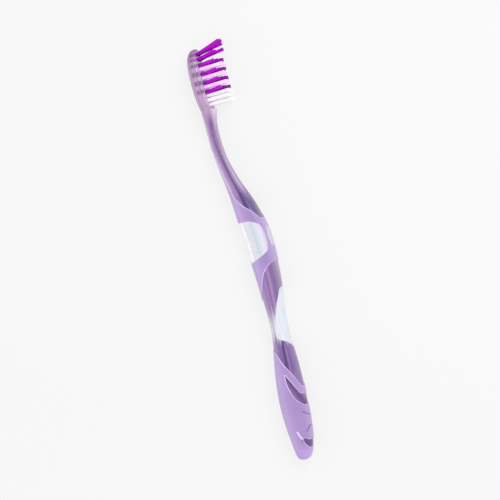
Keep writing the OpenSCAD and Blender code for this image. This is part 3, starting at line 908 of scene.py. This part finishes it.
def block(name, inset, half_w=None):
    """The eight-sided block, sunk by inset at front and back, with its own half width"""
    xs = places(block_start + shot_gap, block_end)
    middle, depth, width, _ = section(xs)
    grid = []
    for x, m, d, w in zip(xs, middle, depth, width):
        heights = m + (2 * BLOCK_SHARES[:, 0] - 1) * (d - inset)
        sides = BLOCK_SHARES[:, 1] * (half_w if half_w else w - inset)
        fronts = np.concatenate([heights[::-1], heights])
        grid.append(placed(x, fronts, np.concatenate([sides[::-1], -sides])))
    made = skin(name, np.array(grid))
    edge = made.modifiers.new("edge", "BEVEL")
    edge.width = facet_round * MM
    edge.segments = 3
    edge.limit_method = "ANGLE"
    edge.angle_limit = SHARP
    return made


def front_opening(gap):
    """A bar with the oval section of the thumb grip's front opening"""
    x = OPENING_PLACE_SHARE * handle_len
    middle = float(section(x)[0])
    turns = np.linspace(0, 2 * math.pi, ROUND, endpoint=False)
    along = x + (OPENING_LENGTH_SHARE * handle_len + gap) * np.cos(turns)
    across = (front_opening_w + gap) * np.sin(turns)
    return skin("oval", np.array([placed(along, middle + rise, across) for rise in (0, OVERRUN)]))


thumb = block("thumb_block_moulding", BLOCK_SUNK_SHARE * bed_t)
facets = cut(block("facets", grip_proud, grip_w / 2), prism(grown(side_window, -shot_gap)), "INTERSECT")
cut(thumb, facets, "UNION")
cut(thumb, cut(block("oval_part", 0, front_opening_w), front_opening(-shot_gap), "INTERSECT"), "UNION")
cut(thumb, tenon(core_tenon_x + shot_gap, block_start + bed_t, core_tenon_d), "UNION")
cut(thumb, tenon(block_end - bed_t, neck_tenon_x - shot_gap, neck_tenon_d), "UNION")
finish_piece(thumb, CLEAR)

# %% [markdown]
# ## The soft grips
# Each grip is a shell 1.2 mm thick, trimmed by its outline and its windows. Along every edge the real
# grip has a thin raised lip, where the soft plastic was pressed against the hard one. The lip is a round
# bead that follows the edge over the surface on both sides and closes on itself, with a painted highlight
# in its paler tint. The palm grip also has short grooves, and beside its lower window a thin recess and a
# pale raised streak, which is an open bead with the same painted highlight.

# %% Beads along the edges
lip_r, lip_sink, lip_step = 0.22, 0.5, 0.5
LIP_SIDES = 10


def side_at(x, height):
    """Half the brush's width at a place and a height of its surface"""
    middle, depth, width, square = section(x)
    share = np.clip(np.abs(height - middle) / depth, 0, 1)
    return width * (1 - share**square) ** (1 / square)


def both_sides(line):
    """A side line carried round the brush: down one side and back up the other"""
    x = line[:, 0]
    middle, depth = section(x)[:2]
    height = np.clip(line[:, 1], middle - depth, middle + depth)
    side = side_at(x, height)
    return np.vstack([placed(x, height, side), placed(x, height, -side)[::-1]])


def evenly(points):
    """Points spread evenly along a path of points"""
    run = np.concatenate([[0], np.cumsum(np.linalg.norm(np.diff(points, axis=0), axis=1))])
    even = np.linspace(0, run[-1], max(int(run[-1] / (lip_step * MM)), 2) + 1)
    return np.stack([np.interp(even, run, points[:, k]) for k in range(3)], axis=1)


def unit(vectors):
    """The same directions, each of length one"""
    return vectors / np.linalg.norm(vectors, axis=1, keepdims=True)


def bead(path, radius, closed=True):
    """A round bead along a path over the surface, sunk a little, its ends joined or capped"""
    if closed:
        path = evenly(np.vstack([path, path[:1]]))[:-1]
        path = (np.roll(path, 1, axis=0) + 2 * path + np.roll(path, -1, axis=0)) / 4
        run = np.roll(path, -1, axis=0) - np.roll(path, 1, axis=0)
    else:
        path = evenly(path)
        run = np.gradient(path, axis=0)
    along = (path[:, 0] - butt_x) / MM
    outward = unit(path - placed(along, section(along)[0], 0))
    across = unit(np.cross(run, outward))
    up = unit(np.cross(run, across))
    path = path - outward * lip_sink * radius * MM
    turns = np.linspace(0, 2 * math.pi, LIP_SIDES, endpoint=False)
    around = [path + radius * MM * (math.cos(t) * across + math.sin(t) * up) for t in turns]
    return skin("bead", np.stack(around, axis=1), closed)


print("A lip stands", round(lip_r * (1 - lip_sink), 2), "mm proud")

# %% Shells with their beads
def join(piece, others):
    """Adds other meshes to a piece, with their own materials"""
    with bpy.context.temp_override(
        active_object=piece, object=piece, selected_editable_objects=[piece, *others],
        selected_objects=[piece, *others],
    ):
        bpy.ops.object.join()
    return piece


def grip(name, ends, outline, cutters, beads):
    """A soft shell between two places, trimmed by its outline and its cutters, with its beads"""
    first, last = ends
    shell = cut(form(name, first, last), prism(outline), "INTERSECT")
    inner_first = first + grip_t if first == 0 else first - shot_gap
    cut(shell, form("inside", inner_first, last + shot_gap, grip_t))
    for cutter in cutters:
        cut(shell, cutter)
    shell.data.materials.append(GRIP)
    for b in beads:
        b.data.materials.append(LIP)
    return finish_piece(join(shell, beads))


thumb_ends = (THUMB_LOW_SHARES[0][0] * handle_len, THUMB_HIGH_SHARES[-1][0] * handle_len)
thumb_edges = [side_line(THUMB_LOW_SHARES), side_line(THUMB_HIGH_SHARES), side_window]
palm_end = PALM_EDGE_SHARES[-1][0] * handle_len
print("Thumb grip from", thumb_ends[0], "to", thumb_ends[1], "mm")

# %% Palm and thumb grips
# Two grooves between the windows, and the recess beside the lower one
GROOVE_SHARES = [
    [[0.08, 0.845], [0.0995, 1.02]], [[0.1375, 0.85], [0.1225, 1.02]],
    [[0.0555, 0.62], [0.08, 0.455]],
]
# The pale streak beside the lower window: an open bead in the lip's painted highlight
STREAK_SHARES = [[0.06, 0.63], [0.072, 0.54], [0.086, 0.47]]
groove_w, groove_depth = 0.6, 0.45
streak_r = 0.65


def groove(ends):
    """A cutter for a short groove in both sides of the palm grip"""
    line = side_line(ends, 1)
    run = line[1] - line[0]
    turns = math.atan2(run[1], run[0]) + np.linspace(math.pi / 2, 3 * math.pi / 2, ROUND // 2)
    arc = groove_w / 2 * np.stack([np.cos(turns), np.sin(turns)], axis=1)
    slot = prism(np.vstack([line[0] + arc, line[1] - arc]))
    return cut(slot, form("kept", grip_t, palm_end, groove_depth))


streak = side_line(STREAK_SHARES)
palm_beads = [bead(both_sides(line), lip_r) for line in (palm_line, palm_window, butt_window)]
for side in (-1, 1):
    path = placed(streak[:, 0], streak[:, 1], side * side_at(streak[:, 0], streak[:, 1]))
    palm_beads.append(bead(path, streak_r, closed=False))
palm_cutters = [prism(palm_window), prism(butt_window), *[groove(ends) for ends in GROOVE_SHARES]]
palm = grip("palm_grip_skin", (0, palm_end), palm_outline, palm_cutters, palm_beads)
thumb_skin = grip(
    "thumb_grip_skin", thumb_ends, thumb_line, [prism(side_window), front_opening(0)],
    [bead(both_sides(line), lip_r) for line in thumb_edges],
)

# %% [markdown]
# ## Filaments by Geometry Nodes
# Hundreds of filaments repeat one rule, so a node tree makes them. It scatters round bundles on the
# roots of a row by the sunflower rule, which packs a circle evenly. It stands a fine curve on each point,
# leans and spreads it, bends it a touch at random with a fixed seed, thins its tip and skins it.

# %% Bundles of upright curves
STORE, REALIZE = "GeometryNodeStoreNamedAttribute", "GeometryNodeRealizeInstances"
ON_POINTS, READ = "GeometryNodeInstanceOnPoints", "GeometryNodeInputNamedAttribute"
FILAMENT_STEPS, FILAMENT_SIDES = 10, 6
GOLDEN_ANGLE = math.pi * (3 - math.sqrt(5))


def bundles(tree, given, index):
    """An upright curve for each filament on every root. Each carries its place in the bundle."""
    share = add(tree, "DIVIDE", add(tree, "ADD", index, 0.5), given["Filaments"])
    reach = add(tree, "MULTIPLY", add(tree, "SQRT", share), given["Bundle radius"])
    turn = add(tree, "MULTIPLY", index, GOLDEN_ANGLE)
    points = add(tree, "GeometryNodePoints", given["Filaments"])
    for name, how in (("out_x", "COSINE"), ("out_z", "SINE")):
        place = add(tree, "MULTIPLY", reach, add(tree, how, turn))
        points = add(tree, STORE, points, Name=name, Value=place)
    rooted = add(tree, REALIZE, add(tree, ON_POINTS, given["Geometry"], Instance=points))
    line = add(tree, "GeometryNodeCurvePrimitiveLine", End=(0.0, 0.0, 1.0))
    line = add(tree, "GeometryNodeResampleCurve", line, Count=FILAMENT_STEPS)
    return add(tree, REALIZE, add(tree, ON_POINTS, rooted, Instance=line))


print("The sunflower rule turns each filament on by", round(math.degrees(GOLDEN_ANGLE), 1), "degrees")

# %% Filaments that stand, spread and lean
TIP_CROWD = 2.2


def grown_filaments(tree, given):
    """The bundles stood up, spread, bent and leaned over, and how far along its curve each point is"""
    index = add(tree, "GeometryNodeInputIndex")
    fibres = bundles(tree, given, index)
    root = add(tree, READ, Name="root", data_type="FLOAT_VECTOR")
    names = ("out_x", "out_z", "stand", "lean", "bright")
    out_x, out_z, stand, lean, bright = [add(tree, READ, Name=name) for name in names]
    curve = add(tree, "GeometryNodeFieldOnDomain", index, data_type="INT", domain="CURVE")
    chance = []
    for step in range(3):
        seed = add(tree, "ADD", given["Seed"], step)
        chance.append(add(tree, "FunctionNodeRandomValue", _2=-1.0, _3=1.0, ID=curve, Seed=seed, out=1))
    # Points crowd towards the tip, where the curve bends most
    place = add(tree, "GeometryNodeSplineParameter")
    left = add(tree, "SUBTRACT", 1.0, place)
    crowded = add(tree, "POWER", left, TIP_CROWD)
    run = add(tree, "SUBTRACT", 1.0, crowded)
    uneven = add(tree, "MULTIPLY_ADD", chance[0], given["Uneven"], 1.0)
    stand = add(tree, "MULTIPLY", stand, uneven)
    total = add(tree, "ADD", stand, given["Hole depth"])
    from_root = add(tree, "MULTIPLY", run, total)
    height = add(tree, "SUBTRACT", from_root, given["Hole depth"])
    share = add(tree, "DIVIDE", height, stand)
    rise = add(tree, "MAXIMUM", share, 0.0)
    wider = add(tree, "MULTIPLY_ADD", rise, given["Spread"], 1.0)
    squared = add(tree, "MULTIPLY", rise, rise)
    bend = add(tree, "MULTIPLY", squared, given["Bend"])
    spread = []
    for out, draw in ((out_x, chance[1]), (out_z, chance[2])):
        sway = add(tree, "MULTIPLY", draw, bend)
        spread.append(add(tree, "MULTIPLY_ADD", out, wider, sway))
    # The bristle side is -Y, and the lean turns about Z
    forward = add(tree, "MULTIPLY", height, -1.0)
    straight = add(tree, "ShaderNodeCombineXYZ", spread[0], forward, spread[1])
    leaned = add(tree, "ShaderNodeVectorRotate", straight, Angle=lean, rotation_type="Z_AXIS")
    spot = add(tree, VECTOR_MATH, root, leaned)
    fibres = add(tree, "GeometryNodeSetPosition", fibres, Position=spot)
    tone = add(tree, "MULTIPLY", rise, bright)
    return add(tree, STORE, fibres, Name="tone", Value=tone), place


print("Each filament has", FILAMENT_STEPS, "steps and", FILAMENT_SIDES, "sides")

# %% The tuft tree
TIP_START, TIP_THINNING = 0.999, 0.5
TREE_INPUTS = {
    "Filaments": "Int", "Bundle radius": "Float", "Filament radius": "Float", "Hole depth": "Float",
    "Spread": "Float", "Bend": "Float", "Uneven": "Float", "Seed": "Int", "Material": "Material",
}


def tuft_tree():
    """The tree that grows the tufts of a row, and the identifiers of its named inputs"""
    tree = bpy.data.node_groups.new("bristle_tufts", "GeometryNodeTree")
    sockets = tree.interface
    sockets.new_socket("Geometry", in_out="INPUT", socket_type="NodeSocketGeometry")
    names = {}
    for label, kind in TREE_INPUTS.items():
        socket = sockets.new_socket(label, in_out="INPUT", socket_type="NodeSocket" + kind)
        names[label] = socket.identifier
    sockets.new_socket("Geometry", in_out="OUTPUT", socket_type="NodeSocketGeometry")
    given = add(tree, "NodeGroupInput").node.outputs
    fibres, place = grown_filaments(tree, given)
    tip = add(tree, "GREATER_THAN", place, TIP_START)
    thin = add(tree, "MULTIPLY_ADD", tip, -TIP_THINNING, 1.0)
    radius = add(tree, "MULTIPLY", thin, given["Filament radius"])
    circle = add(tree, "GeometryNodeCurvePrimitiveCircle", FILAMENT_SIDES, Radius=1.0)
    skins = add(
        tree, "GeometryNodeCurveToMesh", fibres, Profile_Curve=circle, Scale=radius, Fill_Caps=True
    )
    whole = add(tree, REALIZE, add(tree, "GeometryNodeSetShadeSmooth", skins))
    dressed = add(tree, "GeometryNodeSetMaterial", whole, Material=given["Material"])
    plug(tree, tree.nodes.new("NodeGroupOutput"), dressed)
    return tree, names


TUFT_TREE, TUFT_INPUTS = tuft_tree()
print("Tuft tree:", len(TUFT_TREE.nodes), "nodes")

# %% [markdown]
# ## Growing the twelve rows
# Each row is a handful of root points that carry their lean, their standing length and their own place.
# The tree grows the bundle, the result is frozen to a plain mesh, and the roots are thrown away. White
# bundles spread more at the tip than coloured ones, and a filament is drawn thicker than the real 0.18 mm,
# so that 37 of them fill a tuft.

# %% Twelve rows of bristles
FILAMENTS = 37
# Only long inner tufts reach the painted shade at the dark end of the nylon's tones; other tips stop here.
BRIGHT_TIP = 0.74
COLOURED_SPREAD, WHITE_SPREAD, UNEVEN = 0.06, 0.2, 0.012
filament_r, tip_bend = 0.112, 0.1
bundle_r = (hole_d - 2 * tuft_gap) / 2 - filament_r


def bristle(row):
    """A row's nylon: coloured, white at the heel, or white in painted light from its coloured neighbours"""
    if is_coloured(row):
        return COLOURED
    return WHITE if row <= WHITE_HEEL_ROWS else ROSE


def root_points(row):
    """A row's roots as a mesh of points that carry what each tuft needs"""
    tufts = tufts_in(row)
    points = placed(np.array([t[0] for t in tufts]), face_rise, np.array([t[1] for t in tufts]))
    mesh = bpy.data.meshes.new("roots")
    mesh.from_pydata([tuple(p) for p in points], [], [])
    mesh.attributes.new("root", "FLOAT_VECTOR", "POINT").data.foreach_set("vector", points.ravel())
    carried = {
        "lean": [t[2] for t in tufts], "stand": [t[3] * MM for t in tufts],
        "bright": [1 if t[3] == inner_len else BRIGHT_TIP for t in tufts],
    }
    for name, values in carried.items():
        mesh.attributes.new(name, "FLOAT", "POINT").data.foreach_set("value", np.array(values, float))
    return mesh


def grow_row(row):
    """One row of tufts as a plain mesh"""
    mesh = root_points(row)
    made = bpy.data.objects.new(f"tuft_row_{row}_filaments", mesh)
    bpy.context.scene.collection.objects.link(made)
    modifier = made.modifiers.new("tufts", "NODES")
    modifier.node_group = TUFT_TREE
    values = {
        "Filaments": FILAMENTS, "Bundle radius": bundle_r * MM, "Filament radius": filament_r * MM,
        "Hole depth": (hole_depth - tuft_gap) * MM, "Bend": tip_bend * MM, "Uneven": UNEVEN,
        "Spread": COLOURED_SPREAD if is_coloured(row) else WHITE_SPREAD,
        "Seed": row, "Material": bristle(row),
    }
    for label, value in values.items():
        modifier[TUFT_INPUTS[label]] = value
    shape = bpy.context.evaluated_depsgraph_get()
    frozen = bpy.data.meshes.new_from_object(made.evaluated_get(shape))
    made.modifiers.clear()
    made.data = frozen
    bpy.data.meshes.remove(mesh)
    return made


tuft_rows = [grow_row(row) for row in range(1, TUFT_ROWS + 1)]
print("Filament faces:", sum(len(t.data.polygons) for t in tuft_rows))

# %% [markdown]
# ## Joining the frame
# Each piece says which imported solids it stands for, which body it rides on and which slot its finish
# belongs to. A toothbrush has no moving part, so everything rides on the one body. The metal plates keep
# their imported solids, because a flat plate needs nothing but its metal.

# %% Ride and replace
PIECES = [
    (head, "head_and_neck", "neck_plastic"), (core, "handle_core", "core_plastic"),
    (thumb, "thumb_block", "clear_plastic"), (window_insert, "front_window", "clear_plastic"),
    (thumb_skin, "thumb_grip", "soft_grip"), (palm, "palm_grip", "soft_grip"),
]
for row, tufts in enumerate(tuft_rows, start=1):
    slot = "coloured_bristle" if is_coloured(row) else "white_bristle"
    PIECES.append((tufts, f"tuft_row_{row}", slot))
for piece, node_name, slot in PIECES:
    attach(piece, "root")
    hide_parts(node_name)
for row in range(1, TUFT_ROWS + 1):
    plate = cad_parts[f"anchor_row_{row}"]
    plate.data.materials.clear()
    plate.data.materials.append(METAL)
print(len(PIECES), "pieces ride on the body")

# %% [markdown]
# ## The floor
# The brush was photographed on a white table that is lit evenly, almost to pure white. A white floor
# would drown the brush's faint shadow in bounced light. So the floor is a grey paper with a light of its
# own: the light makes it near white, and the grey still lets the lamp and its shadow show a little.

# %% Floor
floor_size = 4.0
GLOW, PAPER_CLOUD = 0.765, 250


def matte_paper():
    """Paper, uncoated: dull and even, with clouds too soft to notice"""
    material, tree, shader = new_material("matte_paper")
    place = add(tree, "ShaderNodeTexCoord", out="Object")
    cloud = add(tree, NOISE, place, Scale=1 / (PAPER_CLOUD * MM))
    tint = add(tree, RAMP, cloud, stops=[(0.3, "#6c6c6c"), (0.7, "#6f6f6f")])
    plug(
        tree, shader, Base_Color=tint, Roughness=0.9, Specular_IOR_Level=0.0,
        Emission_Color=linear("#ffffff"), Emission_Strength=GLOW,
    )
    return material


corners = [(-1, -1), (1, -1), (1, 1), (-1, 1)]
floor = mesh_object(
    "floor", [(x * floor_size, y * floor_size, cad_low.z) for x, y in corners], [tuple(range(4))]
)
floor.data.materials.append(matte_paper())
print("Floor at", round(cad_low.z / MM, 3), "mm")

# %% [markdown]
# ## The light
# A pale room light fills every shadow. One large soft lamp at the upper right of the picture draws the
# faint shadow on the left of the brush. The Standard view keeps the hex colours as they were chosen.

# %% Light
room_strength = 0.88
lamp_place = Vector((0.3, -0.5, 0.8))
lamp_size, lamp_power = 0.5, 3.6
room = bpy.data.worlds.new("pale_room")
room.use_nodes = True
plug(
    room.node_tree, room.node_tree.nodes["Background"], Color=linear("#ffffff"), Strength=room_strength
)
scene = bpy.context.scene
scene.world = room
scene.view_settings.view_transform = "Standard"
lamp_data = bpy.data.lights.new("softbox", "AREA")
lamp_data.size = lamp_size
lamp_data.energy = lamp_power
lamp = bpy.data.objects.new("softbox", lamp_data)
lamp.location = (cad_low + cad_high) / 2 + lamp_place
lamp.rotation_euler = (-lamp_place).to_track_quat("-Z", "Y").to_euler()
scene.collection.objects.link(lamp)
print("Lamp", round(lamp_place.length, 2), "m away")

# %% [markdown]
# ## The camera
# The photograph looks down on the brush, 14.5 degrees round to its bristle side, and the brush runs up
# the picture with a lean of 15 degrees. A long lens keeps both ends the same size, as they are there.

# %% Camera
camera_away, view_width = 1.2, 0.225
brush_lean, view_tilt = math.radians(15), math.radians(14.5)
aim_x, aim_front = 97.5, 1.2
aim = Vector(placed(aim_x, aim_front, 0))
toward = Vector((0, -math.sin(view_tilt), math.cos(view_tilt)))
to_front = Vector((0, -math.cos(view_tilt), -math.sin(view_tilt)))
right = to_front * math.cos(brush_lean) - Vector((1, 0, 0)) * math.sin(brush_lean)
camera_data = bpy.data.cameras.new("camera")
camera_data.lens = camera_data.sensor_width * camera_away / view_width
camera = bpy.data.objects.new("camera", camera_data)
camera.location = aim + toward * camera_away
axes = np.array([right, toward.cross(right), toward]).T
camera.rotation_euler = Matrix(axes.tolist()).to_euler()
scene.collection.objects.link(camera)
scene.camera = camera
print("Lens", round(camera_data.lens), "mm")
